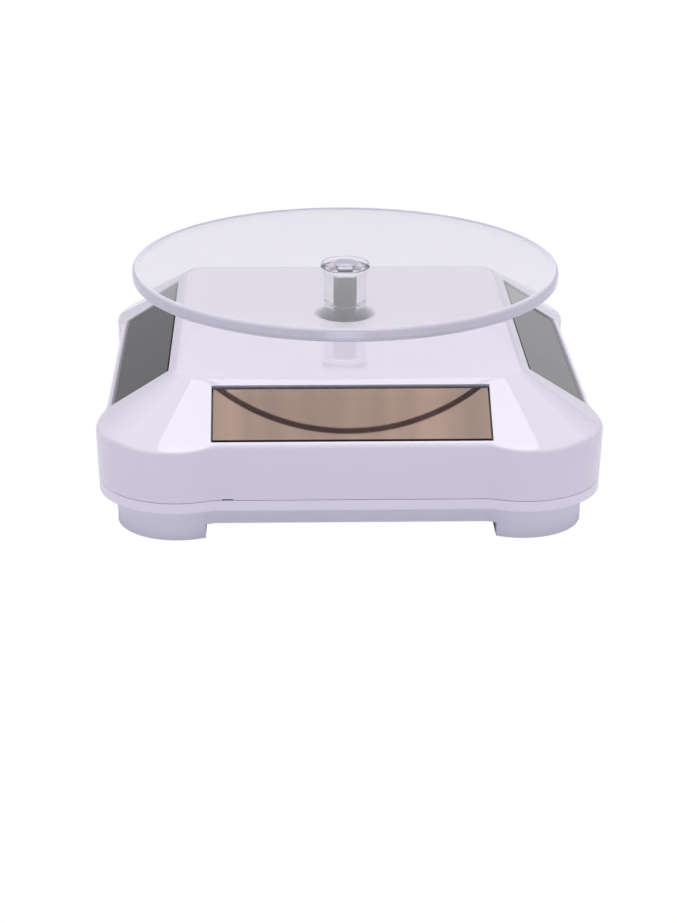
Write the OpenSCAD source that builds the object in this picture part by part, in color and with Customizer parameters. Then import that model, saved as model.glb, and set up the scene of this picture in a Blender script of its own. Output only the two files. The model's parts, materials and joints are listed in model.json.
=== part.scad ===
// Turntable display stand: a square solar powered base with a geared motor that turns a clear disc.
// Millimetres, +Z up, origin on the floor under the middle of the spindle, front of the base towards -Y.

/* [Disc] */
// Diameter of the clear display disc
disc_d = 100; // [90:1:105]
// Thickness of the display disc
disc_t = 3; // [2:0.5:4]
// Height of the disc's upper face above the floor
disc_top = 48; // [46:0.5:52]
// Diameter of the clear hub under the disc
hub_d = 10; // [9:0.5:11]
// Diameter of the hub's rim on top of the disc
hub_rim_d = 10.8; // [10.6:0.2:11.8]

/* [Base] */
// Distance from the middle to each straight side of the skirt
side = 55; // [54:0.5:58]
// Distance from the middle to each corner lobe's axis, along X and along Y
lobe_at = 38.3; // [37:0.1:40]
// Radius of the corner lobes
lobe_r = 18.4; // [18:0.1:19]
// Height of the flat top above the floor
plateau_z = 33.5; // [33.2:0.1:34]
// Height at which the straight sides turn into slopes
skirt_z = 23; // [22.5:0.5:23.5]
// Height of the seam between the upper shell and the lower cover
seam_z = 10.5; // [10.5:0.1:11]
// Slope of the four panel faces, in degrees above the floor
slope_deg = 32.3; // [32:0.1:33]
// Wall thickness of the mouldings
wall = 1.8; // [1.6:0.1:2]
// Wall thickness of the sloping faces, which the solar panels lie against
slope_wall = 1.4; // [1.2:0.1:1.6]

/* [Solar panels] */
// Length of each window
window_l = 61.4; // [56:0.2:62]
// Width of each window, along the slope
window_w = 15.6; // [14.4:0.2:15.6]
// Distance from the middle to the middle of each window
window_at = 47.2; // [46.9:0.1:47.3]
// Gap round each panel's glass in its window, along the window
glass_gap_l = 0.3; // [0.2:0.1:0.5]
// Gap round each panel's glass in its window, up and down the slope
glass_gap_w = 0.75; // [0.4:0.05:0.9]
// How far the glass lies under the slope's surface
glass_sink = 0.35; // [0.2:0.05:0.6]

/* [Lower cover and feet] */
// Radius of the four round feet
foot_r = 14.1; // [13.5:0.1:14.5]
// Distance from the middle to the flat inner sides of the feet
foot_inner = 32.1; // [31.5:0.1:32.5]
// Height of the floor of the cover above what the stand rests on
cover_z = 3.2; // [3:0.1:3.5]

/* [Gear train] */
// Module of all the gears
gear_m = 0.5; // [0.5]
// Teeth of each pinion
pinion_n = 12; // [12]
// Teeth of each wheel
wheel_n = 48; // [48]
// Backlash taken off each tooth's thickness
backlash = 0.07; // [0.06:0.01:0.1]

/* [Hidden] */
$fn = 96;
// How far a cut runs past the face that it opens.
past = 1;

// Colours of the mouldings, metals and electrical parts.
white_abs = [0.93, 0.92, 0.96];
clear_plastic = [0.85, 0.88, 0.9, 0.35];
panel_brown = [0.2, 0.14, 0.12];
steel = [0.62, 0.63, 0.65];
brass = [0.8, 0.66, 0.35];
copper = [0.78, 0.45, 0.25];
grey_plastic = [0.5, 0.5, 0.53];
gear_white = [0.9, 0.89, 0.84];
board_green = [0.12, 0.35, 0.18];
black = [0.08, 0.08, 0.08];
red = [0.75, 0.1, 0.08];

// The roof of the shell: four panel slopes and eight corner facets, each at its own angle to X.
plateau_half = side - (plateau_z - skirt_z) / tan(slope_deg);
facet_deg = 29.3;
facet_turn = 25;
facet_apex = 37.2;
facet_half = facet_apex * (cos(facet_turn) + sin(facet_turn));
window_z = skirt_z + (side - window_at) * tan(slope_deg);
panel_rebate = 0.6;
panel_lip = 0.05;
panel_board_t = 1.2;
dimple_d = 15;
dimple_depth = 3;
boss_drop = 2.2;
shaft_hole_d = 8.8;
blend_r = 6;

// The lower cover: a band that carries the shell, a smaller wall under it, and the feet.
cover_floor = 2;
cover_top_z = cover_z + cover_floor;
band_z = 8;
band_inset = 0.45;
seam_gap = 0.15;
cover_side = 50.2;
lip_h = 1.8;
post_r = 3.6;
post_bottom = 8.6;
column_r = 5;
counterbore_r = 3.4;
counterbore_h = 5;
case_screw_r = 1.5;

// The gear train, from the output wheel on the spindle to the motor's pinion.
centre_distance = gear_m * (pinion_n + wheel_n) / 2;
profile_shift = 0.32;
face_w = 1.7;
layer_pitch = 2.2;
first_layer_z = 12;
output_at = [0, 0];
gear_3_at = output_at + centre_distance * [cos(150), sin(150)];
gear_2_at = gear_3_at + centre_distance * [cos(210), sin(210)];
gear_1_at = gear_2_at + centre_distance * [cos(270), sin(270)];
motor_at = gear_1_at + centre_distance * [cos(320), sin(320)];
plate_t = 1.6;
base_plate_z = 9;
lid_z = 21.2;
pillar_r = 2.3;
pillars = [[13, -9], [3, 17], [-42, 8], [-44, -26]];
pin_r = 0.75;
running = 0.05;
shaft_r = 1;

// The motor, upright in its cup in the lower cover.
motor_r = 10;
motor_z = cover_top_z + 0.1;
motor_h = 11.8;
can_t = 0.8;
end_cap_h = 1.8;
cup_r = 11.8;
armature_r = 6.9;
motor_shaft_r = 0.75;

// The battery, its box and its door at the back.
cell_r = 7.1;
cell_l = 49.2;
nub_r = 2.7;
nub_l = 1.3;
box_y = 30.3;
cell_at = [2.3, box_y, cover_top_z + 0.4 + cell_r];
box_half = [28.6, 7.6];
box_wall = 1.3;
box_roof_z = cell_at[2] + cell_r + 0.4;
door_half = [29.9, 9.4];
door_t = 1.1;
door_travel = 9;
door_gap = 0.15;
flange_w = 1;
flange_l = 4.8;
flange_t = 0.4;

// The circuit board, on two posts at the right.
board_low = [21, -21];
board_size = [23, 27];
board_t = 1.2;
board_z = 8;
board_posts = [[24, -18], [41, 3]];
board_post_r = 2.2;

// The spindle above the base: hub, peg and shaft.
hub_bottom = 35.5;
hub_bore_top = 43;
hub_rim_h = 0.8;
glue_gap = 0.05;
peg_r = 1.75;
peg_flat = 1.35;
collar_r = 2.25;
collar_z = 31;

// The wires.
wire_d = 1.2;
wire_sides = 8;
wire_steps = 4;

// ---- Outlines and the roof ----

// A square plan with a round lobe of radius r at each corner, each lobe blended into both sides.
// The blend's circle dips into the side and the lobe by blend_dip, so that it crosses their edges.
module lobed_plan(half, r) {
    blend_dip = 0.02;
    reach = r + blend_r - blend_dip;
    rise = half + blend_r - blend_dip - lobe_at;
    blend_at = [lobe_at - sqrt(reach ^ 2 - rise ^ 2), lobe_at + rise];
    square([2 * half, 2 * lobe_at], center = true);
    square([2 * lobe_at, 2 * half], center = true);
    at_corners(lobe_at) circle(r);
    for (turn = [0:90:270], flip = [0, 1])
        rotate(turn)
            mirror([flip, 0])
                difference() {
                    polygon([blend_at, [blend_at[0], lobe_at], [lobe_at, lobe_at]]);
                    translate(blend_at) circle(blend_r);
                }
}

// The plan of the skirt, drawn in by inset.
module outline(inset = 0) {
    lobed_plan(side - inset, lobe_r - inset);
}

// The plan of the smaller wall under the band, drawn in by inset.
module lower_outline(inset = 0) {
    lobed_plan(cover_side - inset, foot_r - inset);
}

module at_corners(distance) {
    for (x = [-1, 1], y = [-1, 1])
        translate([x * distance, y * distance]) children();
}

// Two opposite sloping faces: half is the half width at the plateau, and inset draws them in squarely.
module ridge(half, deg, inset, top) {
    low = seam_z - 2 * past;
    reach = inset / sin(deg);
    function half_at(z) = half + (plateau_z - z) / tan(deg) - reach;
    rotate([90, 0, 0])
        linear_extrude(200, center = true)
            polygon([
                [-half_at(low), low], [half_at(low), low],
                [half_at(top), top], [-half_at(top), top]]);
}

// Everything under the roof, its slopes drawn in by inset and its flat top lowered by drop.
module roof(inset = 0, drop = 0) {
    top = plateau_z - drop;
    intersection_for (turn = [0, 90])
        rotate([0, 0, turn])
            intersection() {
                ridge(plateau_half, slope_deg, inset, top);
                rotate([0, 0, facet_turn]) ridge(facet_half, facet_deg, inset, top);
                rotate([0, 0, -facet_turn]) ridge(facet_half, facet_deg, inset, top);
            }
}

// Places children on the front slope's outer face, turned to side k: 0 front, 1 right, 2 back, 3 left.
module on_slope(k) {
    rotate([0, 0, 90 * k])
        translate([0, -window_at, window_z])
            rotate([slope_deg, 0, 0]) children();
}

module tube(r, bore, h) {
    difference() {
        cylinder(h = h, r = r);
        translate([0, 0, -past]) cylinder(h = h + 2 * past, r = bore);
    }
}

// ---- Shell, cover and panels ----

module shell_body(inset, drop, slope_inset, bottom) {
    intersection() {
        translate([0, 0, bottom])
            linear_extrude(plateau_z - bottom + past) outline(inset);
        roof(slope_inset, drop);
    }
}

module top_shell() {
    pry_notch = [2.4, wall + 2 * past, 0.3];
    pilot_r = 1.2;
    pilot_h = 14;
    color(white_abs)
        difference() {
            union() {
                difference() {
                    shell_body(0, 0, 0, seam_z);
                    shell_body(wall, wall, slope_wall, seam_z - past);
                }
                intersection() {
                    shell_body(0, 0, 0, post_bottom - past);
                    union() {
                        at_corners(lobe_at)
                            translate([0, 0, post_bottom]) cylinder(h = plateau_z, r = post_r);
                        translate([0, 0, plateau_z - wall - boss_drop])
                            cylinder(h = wall + boss_drop, r = dimple_d / 2 + 1);
                    }
                }
            }
            for (k = [0:3])
                on_slope(k)
                    cube([window_l, window_w, 4 * slope_wall], center = true);
            at_corners(lobe_at)
                translate([0, 0, post_bottom - past]) cylinder(h = pilot_h + past, r = pilot_r);
            translate([0, 0, plateau_z - dimple_depth])
                cylinder(h = dimple_depth + 0.01, r1 = shaft_hole_d / 2, r2 = dimple_d / 2);
            translate([0, 0, plateau_z - 5 - wall]) cylinder(h = 5 + 2 * wall, r = shaft_hole_d / 2);
            translate([-27.2 - pry_notch[0] / 2, -side - past, seam_z - 0.01]) cube(pry_notch);
        }
}

// The plan of the four feet: circles cut straight on their inner sides.
module foot_plan(inset = 0) {
    reach = lobe_at + foot_r;
    for (turn = [0:90:270])
        rotate(turn)
            intersection() {
                translate([lobe_at, lobe_at]) circle(foot_r - inset);
                translate([foot_inner + inset, foot_inner + inset]) square(reach);
            }
}

module battery_box() {
    outer = box_half + [box_wall, box_wall];
    h = box_roof_z + box_wall - cover_top_z;
    translate([0, box_y, cover_top_z])
        difference() {
            translate([-outer[0], -outer[1], 0]) cube([2 * outer[0], 2 * outer[1], h]);
            translate([-box_half[0], -box_half[1], -past])
                cube([2 * box_half[0], 2 * box_half[1], h - box_wall + past]);
            // Slots for the two leads.
            for (x = [-1, 1])
                translate([x * (box_half[0] - 1.2), -outer[1], h / 2 + 3])
                    cube([1.6, 3 * box_wall, 3], center = true);
        }
}

module bottom_cover() {
    slot = [8.4, 3.6];
    slot_x = 15;
    pilot_r = 0.85;
    rebate_half = door_half[0] + door_gap;
    rebate_y = box_y - door_half[1] - door_travel - 0.5;
    rebate_h = past + door_t + door_gap;
    groove_half = rebate_half + flange_w;
    groove_l = door_travel + 0.5 + flange_l + door_gap;
    color(white_abs)
        difference() {
            union() {
                difference() {
                    union() {
                        translate([0, 0, band_z])
                            linear_extrude(seam_z - seam_gap - band_z) outline(band_inset);
                        translate([0, 0, band_z])
                            linear_extrude(seam_z + lip_h - band_z) outline(wall + 0.15);
                        translate([0, 0, cover_z]) linear_extrude(band_z - cover_z) lower_outline();
                        linear_extrude(cover_z + 1) foot_plan(0.1);
                    }
                    translate([0, 0, cover_top_z]) linear_extrude(band_z) lower_outline(wall);
                    translate([0, 0, band_z + wall]) linear_extrude(band_z) outline(2 * wall);
                    translate([0, 0, wall]) linear_extrude(cover_top_z) foot_plan(wall + 0.3);
                }
                at_corners(lobe_at) cylinder(h = post_bottom, r = column_r);
                for (p = pillars)
                    translate([p[0], p[1], cover_z]) cylinder(h = base_plate_z - cover_z, r = pillar_r);
                for (p = board_posts)
                    translate([p[0], p[1], cover_z]) cylinder(h = board_z - cover_z, r = board_post_r);
                translate([motor_at[0], motor_at[1], cover_z])
                    tube(cup_r, motor_r + 0.2, base_plate_z - 0.3 - cover_z);
                battery_box();
            }
            // Screw holes with deep counterbores in the feet.
            at_corners(lobe_at) {
                translate([0, 0, -past]) cylinder(h = counterbore_h + past, r = counterbore_r);
                translate([0, 0, -past]) cylinder(h = post_bottom + 2 * past, r = case_screw_r + 0.2);
            }
            for (p = pillars)
                translate([p[0], p[1], cover_top_z]) cylinder(h = 2 * base_plate_z, r = pilot_r);
            for (p = board_posts)
                translate([p[0], p[1], cover_top_z]) cylinder(h = 2 * board_z, r = pilot_r);
            // Notches in the motor's cup for its two terminals.
            translate([motor_at[0], motor_at[1], cover_top_z])
                translate([-past - cup_r, -1.6, 0]) cube([2 * (cup_r + past), 3.2, base_plate_z]);
            // The floor stays open over the battery, with a rebate that the door slides in.
            translate([-box_half[0], box_y - box_half[1], cover_z - past])
                cube([2 * box_half[0], 2 * box_half[1], cover_floor + 2 * past]);
            translate([-rebate_half, rebate_y, cover_z - past])
                cube([2 * rebate_half, door_half[1] + door_gap + box_y - rebate_y, rebate_h]);
            for (x = [-slot_x, slot_x])
                translate([x - slot[0] / 2, box_y + box_half[1] - past, cover_z + door_t + door_gap])
                    cube([slot[0], slot[1] + past, cover_floor]);
            // Undercut grooves for the door's two side flanges, open below where the door is put in.
            translate([-groove_half, rebate_y, cover_z + door_t - flange_t - door_gap])
                cube([2 * groove_half, groove_l, flange_t + 2 * door_gap]);
            translate([-groove_half, rebate_y, cover_z - past])
                cube([2 * groove_half, flange_l + 0.8, rebate_h]);
        }
}

// A panel's board lies against the inside of the slope, and its glass stands in the window.
module solar_panel(k) {
    board = [window_l + 2 * panel_rebate, window_w + panel_rebate + panel_lip, panel_board_t];
    glass = [window_l - 2 * glass_gap_l, window_w - 2 * glass_gap_w, slope_wall - glass_sink];
    color(panel_brown)
        on_slope(k) {
            translate([-board[0] / 2, -window_w / 2 - panel_lip, -slope_wall - board[2]]) cube(board);
            translate([0, 0, -slope_wall + glass[2] / 2]) cube(glass, center = true);
        }
}

// ---- Fasteners ----

// A pan head screw standing on z = 0 with its shank up along +Z.
module screw(head_r, head_h, shank_r, shank_h) {
    cross = [0.5, 1.5 * head_r, head_h / 2];
    difference() {
        cylinder(h = head_h, r = head_r);
        for (turn = [0, 90])
            rotate([0, 0, turn])
                translate([-cross[0] / 2, -cross[1] / 2, -0.01]) cube(cross);
    }
    translate([0, 0, head_h]) cylinder(h = shank_h, r = shank_r);
}

module case_screws() {
    color(steel)
        at_corners(lobe_at)
            translate([0, 0, counterbore_h - 2]) screw(2.8, 2, 1.15, 15);
}

module gearbox_screws() {
    head_h = 1.4;
    length = lid_z + plate_t - cover_top_z - past;
    color(steel)
        for (p = pillars)
            translate([p[0], p[1], lid_z + plate_t + head_h])
                rotate([180, 0, 0]) screw(1.9, head_h, 0.8, length);
}

module board_screws() {
    head_h = 1.3;
    color(steel)
        for (p = board_posts)
            translate([p[0], p[1], board_z + board_t + head_h])
                rotate([180, 0, 0]) screw(1.8, head_h, 0.8, 4);
}

// ---- Gearbox ----

// A flat bar between two points, a little narrower than the round ends of radius r that it joins.
module bar(p, q, r) {
    d = q - p;
    half = 0.8 * r;
    translate(p)
        rotate(atan2(d[1], d[0]))
            translate([0, -half]) square([norm(d), 2 * half]);
}

// The shared plan of the gearbox's two plates.
module plate_plan() {
    axes = [output_at, gear_3_at, gear_2_at, gear_1_at];
    hub_r = 4;
    ear_r = pillar_r + 0.7;
    arm_roots = [output_at, output_at, gear_2_at, gear_1_at];
    for (p = axes)
        translate(p) circle(hub_r);
    for (p = pillars)
        translate(p) circle(ear_r);
    for (i = [0:2])
        bar(axes[i], axes[i + 1], hub_r);
    for (i = [0:3])
        bar(arm_roots[i], pillars[i], ear_r);
}

module plate_holes(h) {
    bush_r = 2.5;
    for (p = [gear_1_at, gear_2_at, gear_3_at])
        translate([p[0], p[1], -past]) cylinder(h = h, r = pin_r);
    for (p = pillars)
        translate([p[0], p[1], -past]) cylinder(h = h, r = 1.1);
    translate([0, 0, -past]) cylinder(h = h, r = bush_r);
}

module gearbox_base() {
    color(gear_white)
        translate([0, 0, base_plate_z])
            difference() {
                union() {
                    linear_extrude(plate_t) plate_plan();
                    for (p = pillars)
                        translate(p) cylinder(h = lid_z - base_plate_z, r = pillar_r);
                }
                plate_holes(2 * lid_z);
            }
}

module gearbox_lid() {
    color(gear_white)
        translate([0, 0, lid_z])
            difference() {
                linear_extrude(plate_t) plate_plan();
                plate_holes(2 * lid_z);
            }
}

// A flanged plain bearing, its flange at the bottom.
module bush() {
    flange = [3.4, 0.5];
    difference() {
        union() {
            cylinder(h = plate_t + flange[1], r = 2.5);
            cylinder(h = flange[1], r = flange[0]);
        }
        translate([0, 0, -past]) cylinder(h = plate_t + 3 * past, r = shaft_r + running);
    }
}

module lower_bush() {
    color(brass)
        translate([0, 0, base_plate_z + plate_t + 0.5]) rotate([180, 0, 0]) bush();
}

module upper_bush() {
    color(brass)
        translate([0, 0, lid_z - 0.5]) bush();
}

module gear_pin(at) {
    color(steel)
        translate([at[0], at[1], base_plate_z]) cylinder(h = lid_z + plate_t - base_plate_z, r = pin_r);
}

// ---- Gears ----

function involute(a) = tan(a) * 180 / PI - a;

// Half the angle that a tooth fills at radius r.
function tooth_half(n, shift, r) =
    let (pitch_r = gear_m * n / 2, base_r = pitch_r * cos(20))
    let (thick = gear_m * (PI / 2 + 2 * shift * tan(20)) - backlash)
    thick / (2 * pitch_r) * 180 / PI + involute(20) - involute(acos(min(1, base_r / r)));

// One gear's outline: root, involute flank, tip and the other flank of each tooth.
function gear_outline(n, shift) =
    let (pitch_r = gear_m * n / 2, base_r = pitch_r * cos(20))
    let (tip_r = pitch_r + gear_m * (0.95 + shift), root_r = pitch_r - gear_m * (1.3 - shift))
    let (start_r = max(base_r, root_r), steps = 4)
    let (radii = [for (i = [0:steps]) start_r + (tip_r - start_r) * i / steps])
    [for (k = [0:n - 1])
        let (middle = k * 360 / n, foot = tooth_half(n, shift, start_r))
        each concat(
            [root_r * [cos(middle - foot), sin(middle - foot)]],
            [for (r = radii) let (a = middle - tooth_half(n, shift, r)) r * [cos(a), sin(a)]],
            [for (i = [steps:-1:0])
                let (r = radii[i], a = middle + tooth_half(n, shift, r)) r * [cos(a), sin(a)]],
            [root_r * [cos(middle + foot), sin(middle + foot)]])];

// The turn that puts gear j in mesh with gear i, which stands at phase_i.
function mesh_phase(at_i, at_j, phase_i, n_i, n_j) =
    let (d = at_j - at_i, direction = atan2(d[1], d[0]))
    let (share = (direction - phase_i) * n_i / 360)
    direction + 180 - (0.5 - share) * 360 / n_j;

gear_3_phase = mesh_phase(output_at, gear_3_at, 0, wheel_n, pinion_n);
gear_2_phase = mesh_phase(gear_3_at, gear_2_at, gear_3_phase, wheel_n, pinion_n);
gear_1_phase = mesh_phase(gear_2_at, gear_1_at, gear_2_phase, wheel_n, pinion_n);
motor_phase = mesh_phase(gear_1_at, motor_at, gear_1_phase, wheel_n, pinion_n);

function layer_z(i) = first_layer_z + (i - 1) * layer_pitch;

module pinion_blank(h) {
    linear_extrude(h) polygon(gear_outline(pinion_n, profile_shift));
}

// A wheel with five lightening holes.
module wheel_blank() {
    holes = 5;
    holes_at = 6.6;
    hole_r = 2.2;
    difference() {
        linear_extrude(face_w) polygon(gear_outline(wheel_n, -profile_shift));
        for (k = [0:holes - 1])
            rotate([0, 0, 360 * (k + 0.5) / holes])
                translate([holes_at, 0, -past]) cylinder(h = face_w + 2 * past, r = hole_r);
    }
}

// Gear i of the train: its wheel in layer i and its pinion in the layer below, on one sleeve.
module compound_gear(at, phase, i) {
    sleeve_r = 1.8;
    low = base_plate_z + plate_t + 0.15;
    color(gear_white)
        translate([at[0], at[1], 0])
            rotate([0, 0, phase])
                difference() {
                    union() {
                        translate([0, 0, layer_z(i)]) wheel_blank();
                        translate([0, 0, layer_z(i - 1)]) pinion_blank(layer_pitch);
                        translate([0, 0, low]) cylinder(h = lid_z - 0.15 - low, r = sleeve_r);
                    }
                    translate([0, 0, low - past]) cylinder(h = 2 * lid_z, r = pin_r + running);
                }
}

module output_gear() {
    boss_z = base_plate_z + plate_t + 0.6;
    color(gear_white)
        difference() {
            union() {
                translate([0, 0, layer_z(1)]) wheel_blank();
                translate([0, 0, boss_z]) cylinder(h = layer_z(1) + face_w + 0.2 - boss_z, r = 3);
            }
            cylinder(h = 2 * lid_z, r = shaft_r);
        }
}

// ---- Spindle and disc ----

module drive_shaft() {
    low = base_plate_z - 0.8;
    color(steel)
        translate([0, 0, low]) cylinder(h = hub_bore_top - 2 - low, r = shaft_r);
}

// The peg that carries the hub: a collar that the hub rests on, and a stem with two flats.
module drive_peg() {
    stem_h = hub_bore_top - 0.3 - hub_bottom;
    color(grey_plastic)
        difference() {
            union() {
                translate([0, 0, collar_z]) cylinder(h = hub_bottom - collar_z, r = collar_r);
                translate([0, 0, hub_bottom]) linear_extrude(stem_h) peg_plan();
            }
            translate([0, 0, collar_z - past])
                cylinder(h = hub_bore_top - 2 - collar_z + past, r = shaft_r);
        }
}

// A clip under the lower bush that keeps the shaft from lifting out.
module shaft_clip() {
    color(steel)
        translate([0, 0, base_plate_z - 0.7])
            difference() {
                cylinder(h = 0.5, r = 2.2);
                translate([0, 0, -past]) cylinder(h = 3 * past, r = shaft_r);
                translate([0, -0.6, -past]) cube([3, 1.2, 3 * past]);
            }
}

module display_disc() {
    color(clear_plastic)
        translate([0, 0, disc_top - disc_t])
            difference() {
                cylinder(h = disc_t, r = disc_d / 2);
                translate([0, 0, -past]) cylinder(h = disc_t + 2 * past, r = hub_d / 2 + glue_gap);
                translate([0, 0, disc_t - hub_rim_h]) cylinder(h = disc_t, r = hub_rim_d / 2 + glue_gap);
            }
}

// The peg's section, and the hub's socket when grown by gap: a circle with two flats.
module peg_plan(gap = 0) {
    intersection() {
        circle(peg_r + gap);
        square([4 * peg_r, 2 * (peg_flat + gap)], center = true);
    }
}

// The clear hub: a socket for the peg, bonded through the disc, its rim flush with the disc's top.
module disc_hub() {
    dish = [2.85, 1.2];
    color(clear_plastic)
        difference() {
            union() {
                translate([0, 0, hub_bottom]) cylinder(h = disc_top - hub_bottom, r = hub_d / 2);
                translate([0, 0, disc_top - hub_rim_h]) cylinder(h = hub_rim_h, r = hub_rim_d / 2);
            }
            translate([0, 0, disc_top - dish[1]]) cylinder(h = 2 * dish[1], r = dish[0]);
            translate([0, 0, hub_bottom - past])
                linear_extrude(hub_bore_top - hub_bottom + past) peg_plan(running);
        }
}

// ---- Motor ----

module at_motor(z) {
    translate([motor_at[0], motor_at[1], z]) children();
}

module motor_can() {
    boss = [3, 0.7];
    can_z = motor_z + end_cap_h;
    color(steel)
        at_motor(can_z)
            difference() {
                union() {
                    cylinder(h = motor_h - end_cap_h, r = motor_r);
                    translate([0, 0, motor_h - end_cap_h]) cylinder(h = boss[1], r = boss[0]);
                }
                translate([0, 0, -past])
                    cylinder(h = motor_h - end_cap_h - can_t + past, r = motor_r - can_t);
                translate([0, 0, -past]) cylinder(h = motor_h + past, r = motor_shaft_r + running);
            }
}

module motor_end_cap() {
    color(black)
        at_motor(motor_z)
            difference() {
                cylinder(h = end_cap_h, r = motor_r - 0.1);
                translate([0, 0, 0.8]) cylinder(h = motor_h, r = motor_shaft_r + running);
                translate([0, 0, 1.2]) cylinder(h = end_cap_h, r = motor_r - 1.6);
                for (x = [-1, 1])
                    translate([x * (motor_r - 1), 0, 0.9]) cube([3, 2.4, 0.4], center = true);
            }
}

module motor_magnets() {
    magnet = [9, 7.4];
    color(black)
        at_motor(motor_z + end_cap_h + 0.6)
            intersection() {
                tube(magnet[0], magnet[1], 8.4);
                union() {
                    for (turn = [0, 180])
                        rotate([0, 0, turn + 90]) translate([0, -6, 0]) cube([12, 12, 9]);
                }
            }
}

module motor_terminals() {
    color(brass)
        at_motor(motor_z + 0.9)
            for (x = [-1, 1])
                translate([x * (motor_r + 0.5), 0, 0]) cube([4, 2.2, 0.3], center = true);
}

module motor_shaft() {
    low = motor_z + 0.9;
    color(steel)
        at_motor(low) cylinder(h = lid_z - 0.3 - low, r = motor_shaft_r);
}

module motor_pinion() {
    color(gear_white)
        at_motor(layer_z(4) - 0.1)
            rotate([0, 0, motor_phase])
                difference() {
                    pinion_blank(face_w + 0.4);
                    translate([0, 0, -past]) cylinder(h = 3 * face_w, r = motor_shaft_r);
                }
}

// Three poles on one core, with slots between them for the windings.
module motor_armature() {
    core_r = 2.4;
    neck_w = 2.2;
    shoe_t = 1.4;
    shoe_w = 10;
    color(steel)
        at_motor(motor_z + 3.9)
            linear_extrude(6)
                difference() {
                    union() {
                        circle(core_r);
                        for (turn = [0, 120, 240])
                            rotate(turn) {
                                translate([0, -neck_w / 2]) square([armature_r - shoe_t / 2, neck_w]);
                                intersection() {
                                    difference() {
                                        circle(armature_r);
                                        circle(armature_r - shoe_t);
                                    }
                                    translate([0, -shoe_w / 2]) square([armature_r + past, shoe_w]);
                                }
                            }
                    }
                    circle(motor_shaft_r);
                }
}

module armature_windings() {
    coil = [2.2, 4.4, 7.4];
    color(copper)
        at_motor(motor_z + 3.2)
            for (turn = [0, 120, 240])
                rotate([0, 0, turn])
                    translate([2.7, 0, 0])
                        difference() {
                            translate([0, -coil[1] / 2, 0]) cube(coil);
                            translate([-past, -1.2, 0.7]) cube([coil[0] + 2 * past, 2.4, 6]);
                        }
}

module commutator() {
    color(copper)
        at_motor(motor_z + 1.5) tube(1.8, motor_shaft_r, 1.5);
}

// ---- Electrical parts ----

module circuit_board() {
    color(board_green)
        translate([board_low[0], board_low[1], board_z])
            difference() {
                cube([board_size[0], board_size[1], board_t]);
                for (p = board_posts)
                    translate([p[0] - board_low[0], p[1] - board_low[1], -past])
                        cylinder(h = board_t + 2 * past, r = 1);
            }
}

module storage_capacitor() {
    can_r = 3.15;
    bead = [0.15, 0.6];
    color(black)
        translate([36, -14, board_z + board_t]) {
            cylinder(h = 8, r = can_r);
            translate([0, 0, 0.8]) cylinder(h = bead[1], r = can_r + bead[0]);
        }
}

module blocking_diodes() {
    body_l = 4;
    leg_r = 0.3;
    leg_reach = 2;
    rise = 1.1;
    pitch = 3;
    color(black)
        for (i = [0:3])
            translate([32, -7 + pitch * i, board_z + board_t + rise]) {
                rotate([0, 90, 0]) cylinder(h = body_l, r = 1);
                translate([-leg_reach, 0, 0])
                    rotate([0, 90, 0]) cylinder(h = body_l + 2 * leg_reach, r = leg_r);
                for (x = [leg_r - leg_reach, body_l + leg_reach - leg_r])
                    translate([x, 0, -rise]) cylinder(h = rise, r = leg_r);
            }
}

module battery_cell() {
    color(red)
        translate(cell_at)
            rotate([0, 90, 0]) {
                translate([0, 0, -cell_l / 2]) cylinder(h = cell_l, r = cell_r);
                translate([0, 0, cell_l / 2]) cylinder(h = nub_l, r = nub_r);
            }
}

module battery_plate() {
    t = 0.4;
    color(brass)
        translate([box_half[0] - t, box_y - 5, cell_at[2] - 5]) cube([t, 10, 10]);
}

// ---- Sweeps: wires and the battery's spring ----

// One point of the smooth curve through p, at share t of the way from point i to the next.
function spline(p, i, t) =
    let (n = len(p) - 1, a = p[max(i - 1, 0)], b = p[i], c = p[min(i + 1, n)], d = p[min(i + 2, n)])
    b + t / 2 * (c - a) + t ^ 2 * (a - 2.5 * b + 2 * c - d / 2) + t ^ 3 * (1.5 * (b - c) + (d - a) / 2);

function smooth(p) =
    concat(
        [for (i = [0:len(p) - 2], k = [0:wire_steps - 1]) spline(p, i, k / wire_steps)],
        [p[len(p) - 1]]);

function unit(v) = v / norm(v);

// Across directions that turn as little as they can from one ring to the next.
function across(tangents, i = 0, found = []) =
    i == len(tangents) ? found :
    let (last = i == 0 ? (abs(tangents[0][2]) < 0.9 ? [0, 0, 1] : [1, 0, 0]) : found[i - 1])
    across(tangents, i + 1, concat(found, [unit(last - (last * tangents[i]) * tangents[i])]));

// A closed tube of diameter d along the points of line.
module sweep(line, d, sides) {
    n = len(line) - 1;
    tangents = [for (i = [0:n]) unit(line[min(i + 1, n)] - line[max(i - 1, 0)])];
    u = across(tangents);
    rings = [for (i = [0:n]) let (v = cross(tangents[i], u[i]))
        for (k = [0:sides - 1]) let (a = 360 * k / sides)
            line[i] + d / 2 * (cos(a) * u[i] + sin(a) * v)];
    function at(i, k) = i * sides + k % sides;
    walls = [for (i = [0:n - 1], k = [0:sides - 1])
        [at(i, k), at(i + 1, k), at(i + 1, k + 1), at(i, k + 1)]];
    first = [for (k = [0:sides - 1]) k];
    last = [for (k = [sides - 1:-1:0]) at(n, k)];
    polyhedron(rings, concat([first], walls, [last]), convexity = 6);
}

module wire(points) {
    sweep(smooth(points), wire_d, wire_sides);
}

// The conical coil that presses on the cell's flat end.
module battery_spring() {
    turns = 4;
    per_turn = 12;
    wire = 0.7;
    slack = 0.05;
    low_x = -box_half[0] + wire / 2 + slack;
    high_x = cell_at[0] - cell_l / 2 - wire / 2 - slack;
    count = turns * per_turn;
    line = [for (i = [0:count]) let (s = i / count, a = 180 + 360 * i / per_turn, r = 5.2 - 2.6 * s)
        [low_x + (high_x - low_x) * s, box_y + r * cos(a), cell_at[2] + r * sin(a)]];
    color(steel) sweep(line, wire, 6);
}

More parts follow.
